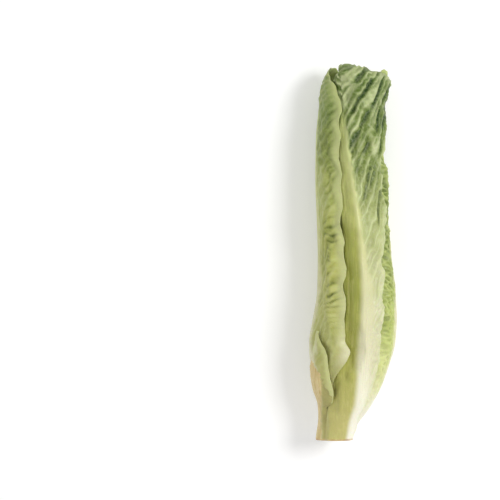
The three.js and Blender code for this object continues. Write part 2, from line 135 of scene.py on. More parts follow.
FRONT_LEAF = dict(
    name="leaf_front", tip=234, droop=12, curl=0.8, groove=1.42, rows=46, columns=24,
    rib=[[0, 46], [9, 57], [19, 65], [38, 73], [62, 80], [87, 84], [105, 84.5], [127, 85.5],
         [148, 90], [164, 94], [174, 97], [191, 104], [203, 112], [216, 126], [229, 145]],
    right=[[0, -6], [6, 10], [10, 26], [17, 38], [24, 42], [38, 42.5], [47, 44.5], [56, 48],
           [68, 50.5], [87, 51.5], [105, 49], [121, 41], [136, 36], [149, 34.5], [163, 38], [172, 35],
           [180, 22], [186, 2], [193, -14], [208, -18], [225, -4]],
    left=[[0, 174], [20, 172], [45, 168], [75, 168], [120, 172], [160, 178], [190, 184],
          [210, 180], [225, 170]],
    rib_size=[[0, 9], [20, 10.5], [45, 10.5], [87, 8.6], [130, 7.5], [165, 5], [195, 2.8],
              [230, 1.6]],
    rib_right=[[0, 4], [40, 4.6], [87, 5], [110, 4], [130, 3.2], [152, 2.4], [175, 2], [205, 1.5],
               [230, 1.2]],
    keel=[[0, 0.2], [16, 0.7], [26, 2], [45, 4.2], [87, 5.8], [130, 5], [165, 3.4], [195, 1.6],
          [230, 0.5]],
    keel_right=[[0, 0.6], [45, 1], [100, 1.2], [150, 1.8], [195, 1.2], [230, 0.4]],
    rib_depth=[[0, 1.6], [20, 3.4], [50, 6], [90, 5], [130, 3.6], [170, 1.8], [200, 0.7],
               [230, 0.2]],
    folds=[[0, 2.3], [165, 2.3], [200, 3.6], [225, 3]],
)

UNDER_LEAF = dict(
    name="leaf_under", tip=229, droop=28, curl=2, groove=1.6, folds=[[0, 1.8]], rows=28,
    columns=14,
    rib=[[0, 266], [55, 270], [195, 270], [229, 256]],
    right=[[0, 224], [20, 206], [45, 178], [75, 166], [120, 160], [180, 162], [215, 168],
           [229, 180]],
    left=[[0, 322], [20, 325], [50, 322], [100, 334], [150, 342], [190, 340], [215, 334],
          [229, 322]],
    rib_size=[[0, 8], [50, 9], [165, 9], [229, 3]],
    keel=[[0, 0.6], [30, 1.4], [56, 1.6], [64, 0], [163, 0], [171, 1.2], [229, 0.5]],
    rib_depth=[[0, 1.4], [20, 3], [50, 5.2], [90, 4.6], [130, 3.2], [180, 1.5], [229, 0.3]],
)

RIGHT_LEAF = dict(
    name="leaf_right", tip=231, droop=18, curl=1.4, folds=[[0, 2.1]], rows=30,
    columns=16,
    rib=[[0, 346], [60, 342], [190, 340], [231, 352]],
    right=[[0, 316], [20, 302], [50, 286], [100, 276], [150, 270], [190, 272], [218, 280],
           [231, 292]],
    left=[[0, 376], [20, 404], [50, 425], [90, 432], [140, 436], [185, 432], [215, 424],
          [231, 410]],
    rib_size=[[0, 7], [50, 8], [120, 6], [231, 2]],
    keel=[[0, 0.6], [40, 1.6], [90, 2.6], [150, 2], [231, 0.6]],
    rib_depth=[[0, 1.2], [20, 2.8], [50, 4.8], [90, 4.2], [130, 3], [180, 1.4], [231, 0.3]],
)

# The inner leaves follow the plant's spiral from the right-hand leaf on, between these two.
INNER_LEAVES = 8
SPIRAL_START = 345
SPIRAL_STEP = 137.5
INNER_FIRST = dict(base=10, tip=233, span=76, rib_size=7, rib_depth=2.6, folds=0.9, curl=2)
INNER_LAST = dict(base=36, tip=202, span=66, rib_size=4, rib_depth=1, folds=0.5, curl=0)
TIP_STAGGER = 4  # every third inner leaf is as long as its neighbours, the next two shorter

# The stem: [height, radius].
STEM = [[0, 7.6], [5, 7.4], [10, 5.2], [16, 4.4], [28, 2.8], [40, 1.2], [44, 0]]
STEM_TIP = 44.0
STEM_SIDES = 24
STEM_CLEAR = 3.0  # how far up and down the stem keeps clear of the leaves

# ---------- what the fine leaves add ----------
EDGE, EDGE_WIDTH = 0.4, 2.5  # a leaf's thickness at its margin, and how far in it thins
DEEPEST_CRINKLE = 0.9  # how far a crinkle may sink below the plain leaf,
HIGHEST_CRINKLE, HIDDEN_CRINKLE = 1.3, 0.25  # and stand out, in the open and under another leaf
HIDDEN_RELIEF = 0.3  # the share of its relief that a blade keeps under another leaf
INNER_CRINKLE = 0.25  # how far a leaf's inner face may bulge into the gap under it
THINNEST = 0.45  # a leaf's least thickness between two crinkles
BUTT_CLOSED = 9.0  # below this height the leaf bases and the stem swell and close up:
LEAF_SWELL, STEM_SWELL, STEM_REACH = 0.33, 1.2, 0.3  # how much, and how far into the gap
BROWNED = 1.6  # how far up from the cut the flesh is browned
# The crest mask below sets painted shade in a blade's dips and painted highlight on its crests.
LEVEL_CREST, OUT_SHOWS = 0.5, 0.5  # the crest mask where a blade is level, and its rise per mm out
CUT_RINGS = (0.02, 0.25, 0.5, 0.72, 0.88, 0.97)  # the stem's cut face, in shares of its radius
FINE_SIDES, FINE_RINGS = 96, 60  # the stem's points round it and along it
LADDER_STEP = 4.8  # between two of the left leaf's straight creases,
LADDER_LEAN = (0.3, 1.0)  # how they lean at first and at last, mm per mm,
LADDER_TURN = 110.0  # and the height from which, and over which, they come to lean more

# Where the trimmed leaf is torn: [height, x]. Right of this line a thin flap is left, and left of
# STUB_EDGE the thick base.
TEAR = [[24, -13.2], [30, -15.6], [33, -18.0], [39, -20.6], [46, -23.8], [53, -26.4]]
STUB_EDGE = -18.6

# Noises: a middle value, then layers of (strength, width, length, what is added to a leaf's seed).
NOISES = dict(
    fray=(0, (1.4, 5, 4, 0), (0.8, 2, 2, 3)), drift=(0, (0.5, 11, 17, 5), (0.3, 4.5, 8, 6)),
    warp=(0, (0.45, 5, 5, 7)), patch=(0.5, (0.5, 9, 20, 9)), grain=(0, (0.08, 0.9, 1.1, 10)),
    uneven=(0, (1, 7, 12, 11)), rumple=(0, (1, 12, 18, 12)), broken=(0.75, (1.3, 6, 9, 13)),
    fibres=(0, (1.5, 3, 60, 14)), broken_half=(0.4, (1.3, 6, 9, 15)),
    frill=(0.35, (0.45, 2.4, 1, 16), (0.315, 7, 1, 17)),
    swing_left=(0, (0.6, 2.6, 1, 18), (1, 8, 1, 26)),
    swing_right=(0, (0.6, 2.6, 1, 19), (1, 8, 1, 27)),
    tear=(0, (0.8, 1.5, 1, 20), (0.4, 0.6, 1, 21)), ragged=(0.5, (0.5, 9, 1, 22)),
    blotch=(0.5, (1.2, 1.5, 14, 30)), buckle=(0, (1, 1, 8, 31)),
)


# ---------- small helpers ----------
TINY = 1e-9  # is divided by instead of 0


def between(low, high, share):
    return low + (high - low) * share


def smooth(x):
    """Rises gently from 0 to 1 as x does."""
    x = np.clip(x, 0, 1)
    return x * x * (3 - 2 * x)


def bell(x):
    """1 where x is 0, and falls off gently to both sides."""
    return np.exp(-x * x)


def curve(points):
    """A smooth curve through [x, y] points, level beyond both ends, that never overshoots them."""
    xs, ys = np.array(points, float).T
    if len(xs) == 1:
        return lambda x: np.full(np.shape(x), ys[0])
    steps = np.diff(ys) / np.diff(xs)
    slopes = np.zeros(len(xs))
    for i, (before, after) in enumerate(zip(steps[:-1], steps[1:]), 1):
        if before * after > 0:
            slopes[i] = 2 * before * after / (before + after)

    def at(x):
        x = np.clip(np.asarray(x, float), xs[0], xs[-1])
        i = np.clip(np.searchsorted(xs, x, side="right") - 1, 0, len(xs) - 2)
        width = xs[i + 1] - xs[i]
        t = (x - xs[i]) / width
        bend = t * (1 - t) * width * (slopes[i] * (1 - t) - slopes[i + 1] * t)
        return ys[i] + (ys[i + 1] - ys[i]) * smooth(t) + bend

    return at


left_edge, right_edge, underside, topside = (
    curve([[row[0], row[column]] for row in OUTLINE]) for column in (1, 2, 3, 4)
)
stem_radius = curve(STEM)


def middle(height):
    """The middle line of the head at a height."""
    return (
        (left_edge(height) + right_edge(height)) / 2,
        (underside(height) + topside(height)) / 2,
    )


def outline_radius(angle, height):
    """From the middle line to the outline: an ellipse, cut off flat where the head rests."""
    c, s = np.cos(np.radians(angle)), np.sin(np.radians(angle))
    half_width = (right_edge(height) - left_edge(height)) / 2
    half_depth = (topside(height) - underside(height)) / 2
    ellipse = 1 / np.hypot(c / half_width, s / half_depth)
    up = middle(height)[1]
    flat = up / np.maximum(-s, TINY)
    beside = (up + FLAT_RISE * FLAT_WIDTH) / np.maximum(FLAT_RISE * np.abs(c) - s, TINY)
    return np.where(s < 0, np.minimum(np.minimum(ellipse, flat), beside), ellipse)


# ---------- the room inside the head ----------
HEIGHTS = int(LENGTH // HEIGHT_STEP) + 2
LAST_ROW = HEIGHTS - 1.001  # just below the last row
ANGLE_STEP = 360 / ANGLE_STEPS
USUAL_DEPTH = 4.0  # how deep under the outline most leaves lie
LEAST_RADIUS = 3.0
USUAL_RADIUS = 22.0


def whole_steps(low, high, step):
    """The whole steps that hold a stretch."""
    return np.arange(np.floor(low / step), np.ceil(high / step) + 1)


def cells(i, j):
    return np.ix_(np.clip(j, 0, HEIGHTS - 1).astype(int), i.astype(int) % ANGLE_STEPS)


def taken_near(taken, angle, height, angle_reach, height_reach):
    """The deepest that the taken depth gets within a reach of a place."""
    i = whole_steps(angle - angle_reach, angle + angle_reach, ANGLE_STEP)
    j = whole_steps(height - height_reach, height + height_reach, HEIGHT_STEP)
    return max(0.0, taken[cells(i, j)].max())


def soften(taken):
    """The taken depth falls off only gently, so no leaf is pulled sharply out past a margin."""
    angles = np.arange(ANGLE_STEPS) * ANGLE_STEP

    def lap(row, height, way):
        radius = np.maximum(outline_radius(angles, height) - USUAL_DEPTH, LEAST_RADIUS)
        cost = STEEPEST * np.radians(ANGLE_STEP) * radius
        ring, price = np.tile(row[::way], 3), np.cumsum(np.tile(cost[::way], 3))
        reached = np.maximum.accumulate(ring + price) - price
        return reached[-ANGLE_STEPS:][::way]

    for way in (1, -1):
        for j in range(HEIGHTS)[::way]:
            taken[j] = lap(taken[j], j * HEIGHT_STEP, 1)
            taken[j] = lap(taken[j], j * HEIGHT_STEP, -1)
            if 0 <= j + way < HEIGHTS:
                taken[j + way] = np.maximum(taken[j + way], taken[j] - STEEPEST * HEIGHT_STEP)


# ---------- the coarse leaves ----------
def read_curves(values):
    """Named values, with lists turned into curves."""
    read = {key: curve(value) if isinstance(value, list) else value for key, value in values.items()}
    return Named(**read)


def read_leaf(leaf):
    usual = dict(base=0, groove=1.5, tuck=[[0, 0]], rib_right=leaf["rib_size"], keel_right=leaf["keel"])
    return read_curves({**usual, **leaf})


def folds_slant(across, height):
    """Rises across the folds: they run steeply up from the midrib, and less so near the tips."""
    further = FOLDS_TURN * np.maximum(0, height - FOLDS_SPREAD) ** 2
    return FOLDS_ACROSS * np.abs(across) - FOLDS_ALONG * height - further


def folds_rate(height):
    """How much that rises in a millimetre straight across the folds."""
    further = 2 * FOLDS_TURN * np.maximum(0, height - FOLDS_SPREAD)
    return np.hypot(FOLDS_ACROSS, FOLDS_ALONG + further)


def folds_phase(across, height):
    """The narrow folds' phase: it grows by a whole turn, in radians, from one fold to the next."""
    fold = NARROW_FOLDS
    sway = fold.sway * np.sin(height * fold.sway_along + across * fold.sway_across)
    return folds_slant(across, height) * fold.rate + sway


def folds(across, height):
    """Folds up and away from the midrib: 0 level with the leaf's even surface, to 1 at the deepest."""
    fold = BROAD_FOLDS
    broad = np.sin(folds_slant(across, height) * fold.rate + across * fold.across + fold.start)
    narrow = np.sin(folds_phase(across, height))
    return 0.5 - NARROW_FOLDS.share * narrow - fold.share * broad


def rib_side(leaf, across, height):
    """The midrib's half width on the side where a point lies."""
    return np.where(across < 0, leaf.rib_right(height), leaf.rib_size(height))


def relief(leaf, across, inward, height, under, radius):
    """A leaf's outer depth under the outline, and its thickness there."""
    side = rib_side(leaf, across, height)
    keel = np.where(across < 0, leaf.keel_right(height), leaf.keel(height))
    ridge = bell(across / side)
    beyond = (np.abs(across) - side) / FOLD_START
    grown = (height - leaf.base - SMOOTH_BASE) / FOLDS_GROWN
    foot = (across / side / leaf.groove) ** 2
    tuck = leaf.tuck(height) * smooth(1 - inward / TUCK_WIDTH)
    free = np.maximum(under, keel * foot * np.exp(1 - foot) + tuck)
    fold = leaf.folds(height) * smooth(beyond) * smooth(grown) * folds(across, height)
    curl = leaf.curl * smooth((height - leaf.tip) / CURL_LENGTH + 1)
    thickness = BLADE + leaf.rib_depth(height) * ridge
    deepest = under + radius * RELIEF_SHARE
    return np.minimum(free + fold + curl, deepest), np.minimum(thickness, radius * THICK_SHARE)


def wave(height, leaf):
    """How far a waved margin swings out, in degrees."""
    grown = (height - leaf.base - EVEN_MARGIN) / WAVES_GROWN
    short = SHORT_WAVES.swing * np.sin(height * SHORT_WAVES.rate + leaf.tip)
    return smooth(grown) * (short + LONG_WAVES.swing * np.sin(height * LONG_WAVES.rate))


def top_height(leaf, u):
    """The height of the leaf's upper edge."""
    return leaf.tip - leaf.droop * np.abs(u) ** TIP_POWER


def net(rows, columns):
    """A leaf's points: u runs from -1 to 1 across it, v from 0 to 1 up it."""
    v, u = np.meshgrid(np.linspace(0, 1, rows + 1), np.linspace(-1, 1, columns + 1), indexing="ij")
    return u, v


def spread(leaf, u, v):
    """The height and angle of the leaf's point (u, v), with its rib and both margins there."""
    height = leaf.base + v * (top_height(leaf, u) - leaf.base)
    rib = leaf.rib(height)
    right = leaf.right(height) - wave(height, leaf)
    left = leaf.left(height) + wave(height + LEFT_SHIFT, leaf)
    angle = np.where(u < 0, rib + u * (rib - right), rib + u * (left - rib))
    return height, angle, rib, right, left


def lay_leaf(leaf, taken):
    """The leaf's coarse grid: angles, heights, and the depths of its two faces."""
    rows, columns = leaf.rows, leaf.columns
    u, v = net(rows, columns)
    height, angle, rib, right, left = spread(leaf, u, v)
    reach = (left - right) / columns / 2
    rise = (top_height(leaf, u) - leaf.base) / rows / 2
    places = zip(angle.flat, height.flat, reach.flat, rise.flat)
    under = np.array([taken_near(taken, *place) for place in places]).reshape(angle.shape)
    radius = outline_radius(angle, height) - under
    across = np.radians(angle - rib) * radius
    inward = np.radians(angle - right) * radius
    outer, thickness = relief(leaf, across, inward, height, under, radius)
    spare = radius + under - outer - stem_radius(height) - GAP
    thick = np.clip(thickness, BLADE, np.maximum(spare, BLADE))
    return Named(angle=angle, height=height, outer=outer, inner=outer + thick)


def take_triangle(taken, covered, a, b, c):
    """Marks what a triangle (angle, height, depth) of the leaf's inner face takes and covers."""
    bx, by, cx, cy = b[0] - a[0], b[1] - a[1], c[0] - a[0], c[1] - a[1]
    area = bx * cy - cx * by
    left, right = min(0, bx, cx) + a[0], max(0, bx, cx) + a[0]
    low, high = min(0, by, cy) + a[1], max(0, by, cy) + a[1]
    sag = (1 - np.cos(np.radians(right - left) / 2)) * USUAL_RADIUS
    i, j = whole_steps(left, right, ANGLE_STEP), whole_steps(low, high, HEIGHT_STEP)
    y, x = np.meshgrid(j * HEIGHT_STEP - a[1], i * ANGLE_STEP - a[0], indexing="ij")
    p = np.clip((x * cy - y * cx) / area, 0, 1)
    q = np.clip((y * bx - x * by) / area, 0, 1 - p)
    outside = np.hypot((x - p * bx - q * cx) / ANGLE_STEP, (y - p * by - q * cy) / HEIGHT_STEP)
    depth = a[2] + p * (b[2] - a[2]) + q * (c[2] - a[2]) + sag + GAP
    np.maximum.at(taken, cells(i, j), np.where(outside < 1, depth, 0))
    np.maximum.at(covered, cells(i, j), np.where(outside < 1, 1.0, 0.0))


def take_leaf(grid, taken, covered):
    """Marks what the whole leaf takes and covers."""
    corner = np.stack([grid.angle, grid.height, grid.inner], axis=-1)
    for j in range(corner.shape[0] - 1):
        for i in range(corner.shape[1] - 1):
            a, b, c, d = corner[j, i], corner[j, i + 1], corner[j + 1, i + 1], corner[j + 1, i]
            take_triangle(taken, covered, a, b, c)
            take_triangle(taken, covered, a, c, d)
    soften(taken)


def inner_leaf(index):
    """An inner leaf: smaller, thinner and attached higher up the stem than the one before it."""
    share = index / (INNER_LEAVES - 1)
    own = {key: between(INNER_FIRST[key], INNER_LAST[key], share) for key in INNER_FIRST}
    base, span, deep, size = (own[key] for key in ("base", "span", "rib_depth", "rib_size"))
    tip = own["tip"] - TIP_STAGGER * (index % 3)
    rib = SPIRAL_START + SPIRAL_STEP * (index + 1)

    def margin(side):
        return [[base, rib + side * 44], [base + 30, rib + side * (span - 14)],
                [base + 90, rib + side * span], [tip - 40, rib + side * span],
                [tip, rib + side * span * 0.7]]

    return dict(
        name=f"leaf_inner_{index + 1}", base=base, tip=tip, droop=22, curl=own["curl"],
        folds=[[base, own["folds"]]], rows=18, columns=8,
        rib=[[base, rib], [tip, rib + 8]],
        right=margin(-1),
        left=margin(1),
        rib_size=[[base, size], [base + 60, size], [tip, 1.5]],
        keel=[[base, 0.2], [base + 50, 0.8], [tip, 0.3]],
        rib_depth=[[base, deep * 0.6], [base + 25, deep], [base + 90, deep * 0.6], [tip, 0.1]],
    )


def cover_at(covered, angle, height):
    """How far places lie under leaves laid before: 0 in the open, 1 under one."""
    x = (angle / ANGLE_STEP) % ANGLE_STEPS
    y = np.clip(height / HEIGHT_STEP, 0, LAST_ROW)
    i, j = np.floor(x).astype(int) % ANGLE_STEPS, np.floor(y).astype(int)
    tx, ty = x % 1, y - j
    k = (i + 1) % ANGLE_STEPS
    low = between(covered[j, i], covered[j, k], tx)
    high = between(covered[j + 1, i], covered[j + 1, k], tx)
    return between(low, high, ty)


def place(angle, height, depth):
    """The points at an angle and a height, so deep under the outline, in the outline's own place."""
    x, z = middle(height)
    radius = outline_radius(angle, height) - depth
    turn = np.radians(angle)
    return np.stack([x + radius * np.cos(turn), height, z + radius * np.sin(turn)], axis=-1)


# ---------- noise ----------
def scatter(ix, iy, seed):
    """An even draw from 0 to 1 for each whole-numbered place; the large numbers mix its bits."""
    h = (ix.astype(np.int64) * 374761393 + iy.astype(np.int64) * 668265263 + seed * 974634777)
    h = (h ^ (h >> 13)) * 1274126177
    h = (h ^ (h >> 16)) & 0xFFFFFF
    return h / float(0xFFFFFF)


def noise(x, y, seed):
    """Smooth noise from -1 to 1 with features about 1 across."""
    ix, iy = np.floor(x), np.floor(y)
    tx, ty = smooth(x - ix), smooth(y - iy)
    corner = [scatter(ix + a, iy + b, seed) for a, b in ((0, 0), (1, 0), (0, 1), (1, 1))]
    low, high = between(corner[0], corner[1], tx), between(corner[2], corner[3], tx)
    return 2 * between(low, high, ty) - 1


def leaf_noise(name, p, x=None, y=0.0):
    """The noise of that name in NOISES, drawn over one leaf or at given places."""
    x, y = (p.across, p.height) if x is None else (x, y)
    total, *layers = NOISES[name]
    for strength, width, length, key in layers:
        total = total + strength * noise(x / width, y / length, p.seed + key)
    return total


def blisters(x, y, seed):
    """Rounded cells about 1 across: 0 on the seams between them, rising to about 1 inside."""
    inset, seam, far = 0.15, 0.55, 9.0
    ix, iy = np.floor(x), np.floor(y)
    first, second = np.full((2, *np.shape(x)), far)
    for a in (-1, 0, 1):
        for b in (-1, 0, 1):
            cx = ix + a + inset + (1 - 2 * inset) * scatter(ix + a, iy + b, seed)
            cy = iy + b + inset + (1 - 2 * inset) * scatter(ix + a, iy + b, seed + 1)
            d = np.hypot(x - cx, y - cy)
            second = np.minimum(second, np.maximum(first, d))
            first = np.minimum(first, d)
    return smooth((second - first) / seam)


# ---------- fine leaves ----------
def sample(grid, u, v):
    """A smooth surface through a coarse grid's values, at u from -1 to 1 and v from 0 to 1."""
    rows, columns = grid.shape
    x, y = (u + 1) / 2 * (columns - 1), v * (rows - 1)

    def weights(t):
        return [(-t + 2 * t**2 - t**3) / 2, (2 - 5 * t**2 + 3 * t**3) / 2,
                (t + 4 * t**2 - 3 * t**3) / 2, (t**3 - t**2) / 2]

    ix = np.clip(np.floor(x), 0, columns - 2).astype(int)
    iy = np.clip(np.floor(y), 0, rows - 2).astype(int)
    wx, wy = weights(x - ix), weights(y - iy)
    total = np.zeros(np.shape(u))
    for b in range(4):
        for a in range(4):
            at = (np.clip(iy + b - 1, 0, rows - 1), np.clip(ix + a - 1, 0, columns - 1))
            total += wy[b] * wx[a] * grid[at]
    return total


def fold_turns(across, height):
    """Whole numbers at the bottoms of the folds, and how many millimetres lie between two."""
    apart = 2 * np.pi / NARROW_FOLDS.rate / folds_rate(height)
    return folds_phase(across, height) / 2 / np.pi + 0.25, apart


def ladder_turns(across, height):
    """Whole numbers on the left leaf's straight creases, and how many millimetres lie between two."""
    lean = between(*LADDER_LEAN, smooth((height - LADDER_TURN) / LADDER_TURN))
    return (lean * np.abs(across) - height) / LADDER_STEP, LADDER_STEP


def lines(turns, apart, width):
    """1 where turns is a whole number, falling to 0 over a width in millimetres."""
    return bell(np.abs((turns + 0.5) % 1 - 0.5) * apart / width)


def creases(p, turns, apart):
    """Creases where turns is a whole number, and weaker ones halfway, that all come and go."""
    whole = lines(turns, apart, p.crease_width) * smooth(leaf_noise("broken", p))
    half = p.half_crease * lines(turns + 0.5, apart, p.crease_width)
    half = half * smooth(leaf_noise("broken_half", p))
    return p.crease(p.height) * (whole + half) * smooth(np.abs(p.across) / p.crease_start)


def blistered(p, phase):
    """Blisters in rows along the veins, higher in some places than in others."""
    warp = leaf_noise("warp", p)
    row = (0.45 * np.abs(p.across) + 0.9 * p.height) / (p.blister * p.cell_length)
    row = row + warp + p.sides_apart * (p.across > 0)
    cell = blisters(phase * p.strip_cells + warp, row, p.seed + 8)
    tall = between(0.6, 1.4, leaf_noise("uneven", p) ** 2)
    return p.pucker(p.height) * tall * (cell - p.cell_level)


def crinkle(p):
    """How far the blade stands out; its veins, creases, and painted highlight on its fold tops."""
    side = np.abs(p.across)
    drift = leaf_noise("drift", p)
    phase = folds_slant(p.across, p.height) / p.vein_step + drift + p.vein_shift * (p.across > 0)
    vein = lines(phase, p.vein_step / folds_rate(p.height), p.vein_width)
    patch = leaf_noise("patch", p)

    turns, apart = p.creases(p.across, p.height)
    turns = turns + p.crease_drift * drift
    crinkled = smooth((side - p.crinkle_start) / p.crinkle_grown)
    crease = creases(p, turns, apart) * crinkled
    blotch = smooth(leaf_noise("blotch", p, turns, p.height + side))
    # Painted highlight along the fold tops, in the colour only.
    top = p.bands(p.height) * (0.5 - np.cos(2 * np.pi * turns) / 2)

    buckle = leaf_noise("buckle", p, p.across / p.buckle_width + drift, p.height - p.buckle_lean * side)
    out = p.ridge * between(0.4, 1.3, patch) * (vein - p.vein_level) + blistered(p, phase) * crinkled
    out = out + p.rumple * leaf_noise("rumple", p) + p.buckle(p.height) * buckle
    out = out + leaf_noise("grain", p) - crease
    return out, vein * between(0.4, 1, patch), crease * between(0.3, 1, blotch), top


def survey(leaf, grid, look):
    """What is known of one leaf, with its fine points and how they lie to its midrib and margins."""
    p = Named(**{**vars(leaf), **vars(look)})
    u, p.v = net(p.rows, p.columns)
    p.height, p.angle, rib, right, left = spread(leaf, u, p.v)
    p.outer, p.inner = sample(grid.outer, u, p.v), sample(grid.inner, u, p.v)
    p.radius = outline_radius(p.angle, p.height) - p.outer
    p.across = np.radians(p.angle - rib) * p.radius
    p.side = rib_side(leaf, p.across, p.height)
    p.to_right, p.to_left = np.radians(p.angle - right) * p.radius, np.radians(left - p.angle) * p.radius
    to_tip = p.tip_edge * (top_height(leaf, u) - p.height)
    p.from_edge = np.minimum(np.minimum(p.to_right, p.to_left), to_tip)
    p.open_air = 1 - cover_at(grid.covered, p.angle, p.height)
    p.young = smooth((p.height - p.base - p.smooth_base) / p.blade_grown)
    p.pale = p.to_right / (p.pale_width + p.lobe * bell((p.height - p.lobe_height) / p.lobe_length))
    p.blade = blade_share(p)
    return p


def blade_share(p):
    """0 on the midrib, 1 on the blade, which sets in beyond it in a frayed line and at the tip."""
    fade = p.rib_fade(p.height)
    fray = leaf_noise("fray", p) * fade / p.full_fray
    share = np.where(p.across > 0, p.rib_share_left, p.rib_share(p.height))
    beside = smooth((np.abs(p.across) - p.side * share + fray) / fade)
    return np.maximum(beside, smooth((p.height - p.tip + p.rib_end) / p.tip_fade))


def stand_out(p, crinkles):
    """How far the leaf's outer face stands out of the smooth leaf."""
    rough = p.blade * p.young * between(HIDDEN_RELIEF, 1, p.open_air)
    calm = 1 - p.calm_margin * smooth(p.calm_reach - p.pale)
    fibres = leaf_noise("fibres", p)
    stripes = p.stripe_height * np.sin(p.across * p.stripe_rate + fibres)
    lift = p.ruffle * p.open_air * p.young * smooth(1 - p.from_edge / p.frill_width)
    out = rough * calm * crinkles + (1 - p.blade) * stripes * p.young
    out = out + lift * leaf_noise("frill", p, p.height)
    return np.clip(out, -DEEPEST_CRINKLE, between(HIDDEN_CRINKLE, HIGHEST_CRINKLE, p.open_air))


def swing_margins(p):
    """The points' angles, swung to and fro near the leaf's two margins."""
    left = leaf_noise("swing_left", p, p.height) * smooth(1 - p.to_left / p.swing_width)
    right = leaf_noise("swing_right", p, p.height) * smooth(1 - p.to_right / p.swing_width)
    return p.angle + p.swing_turn * p.young * (left - right)


def colour_masks(p, out, vein, crease, top):
    """The masks that a leaf's colours follow."""
    # The crest mask sets painted shade in the dips and painted highlight on the crests.
    stands = (OUT_SHOWS * out + top) * p.blade * p.contrast(p.height)
    return dict(
        blade=p.blade * p.young,
        along=p.height / LENGTH,
        crest=np.clip(LEVEL_CREST + stands, 0, 1),
        vein=vein * p.blade * smooth(1 - (np.abs(p.across) - p.side) / p.vein_reach),
        # Painted shade in the creases.
        crease=crease * p.blade * p.young,
        edge=p.pale_edge * smooth(1 - p.from_edge / p.edge_width),
        # The left leaf's margin band: its own paler green and painted highlight.
        margin=p.calm_margin * smooth(p.pale_reach - p.pale) * p.young,
        # The front midrib's left side: its own olive, and painted shade away from the key light.
        flank=p.flank(p.height) * smooth((p.across / p.side - p.flank_start) / p.flank_fade),
        cut=smooth(1 - (p.height - p.base) / BROWNED) * (p.base == 0),
        stub=0 * p.height,
        # The torn leaf's sunken place below its flap, painted shade.
        shaded_hollow=0 * p.height,
    )


def tear_masks(p, x):
    """A torn leaf's base, and the sunken place below its flap that is painted shade; each 1 where it is.
    """
    jag = leaf_noise("tear", p, p.height)
    below = 1 - smooth((x - p.tear(p.height) + jag) / p.tear_width)
    stub = below * smooth((STUB_EDGE - x + p.stub_jag * jag) / p.stub_fade)
    return stub, below - stub


def fine_leaf(leaf, grid, look):
    """The leaf's two faces as fine grids of points, and the masks that its colours follow."""
    p = survey(leaf, grid, look)
    crinkles, *marks = crinkle(p)
    out = stand_out(p, crinkles)
    masks = colour_masks(p, out, *marks)

    closed = p.closed * smooth(1 - (p.height - p.closed_height) / p.closed_fade)
    closed = closed * smooth(1 - p.to_right / p.closed_width)
    angle = swing_margins(p) - np.degrees(closed / p.radius)
    outer = p.outer - out
    inner = np.maximum(p.inner + np.minimum(-out, INNER_CRINKLE), outer + THINNEST)
    spare = (inner - outer - EDGE) * smooth(1 - p.from_edge / EDGE_WIDTH)
    outer = outer + p.closed_sink * closed + spare * p.press
    inner = inner + p.closed_sink * closed - spare * (1 - p.press) * p.young
    inner = inner + LEAF_SWELL * smooth(1 - p.height / BUTT_CLOSED)

    if hasattr(p, "tear"):
        masks["stub"], masks["shaded_hollow"] = tear_masks(p, place(angle, p.height, outer)[..., 0])
        outer = outer + p.tear_step * (masks["stub"] + masks["shaded_hollow"])
    ragged = p.ragged * leaf_noise("ragged", p, angle) * smooth((p.v - 1) / p.ragged_share + 1)
    height = p.height - ragged
    return place(angle, height, outer), place(angle, height, inner), masks


def shell_faces(rows, columns):
    """The quads of a closed shell between two grids of points."""
    j, i = np.meshgrid(np.arange(rows), np.arange(columns), indexing="ij")
    width, count = columns + 1, (rows + 1) * (columns + 1)
    a = (j * width + i).ravel()
    sheet = np.stack([a, a + width, a + width + 1, a + 1], axis=-1)
    faces = [sheet, sheet[:, ::-1] + count]

    def rim(p, q):
        faces.append(np.stack([p, q, q + count, p + count], axis=-1))

    i, j = np.arange(columns), np.arange(rows)
    rim(i, i + 1)
    rim(rows * width + i + 1, rows * width + i)
    rim((j + 1) * width, j * width)
    rim(j * width + columns, (j + 1) * width + columns)
    return np.concatenate(faces)


def add_object(name, data):
    obj = bpy.data.objects.new(name, data)
    bpy.context.scene.collection.objects.link(obj)
    return obj


def mesh_object(name, points, faces, masks, material):
    """A smooth mesh object from points in metres, with a value of each mask at every point."""
    mesh = bpy.data.meshes.new(name)
    mesh.vertices.add(len(points))
    mesh.vertices.foreach_set("co", points.astype(np.float32).ravel())
    mesh.loops.add(faces.size)
    mesh.loops.foreach_set("vertex_index", faces.astype(np.int32).ravel())
    mesh.polygons.add(len(faces))
    mesh.polygons.foreach_set("loop_start", np.arange(0, faces.size, faces.shape[1], dtype=np.int32))
    mesh.update(calc_edges=True)
    mesh.shade_smooth()
    for key, values in masks.items():
        attribute = mesh.attributes.new(key, "FLOAT", "POINT")
        attribute.data.foreach_set("value", values.astype(np.float32).ravel())
    mesh.materials.append(material)
    return add_object(name, mesh)


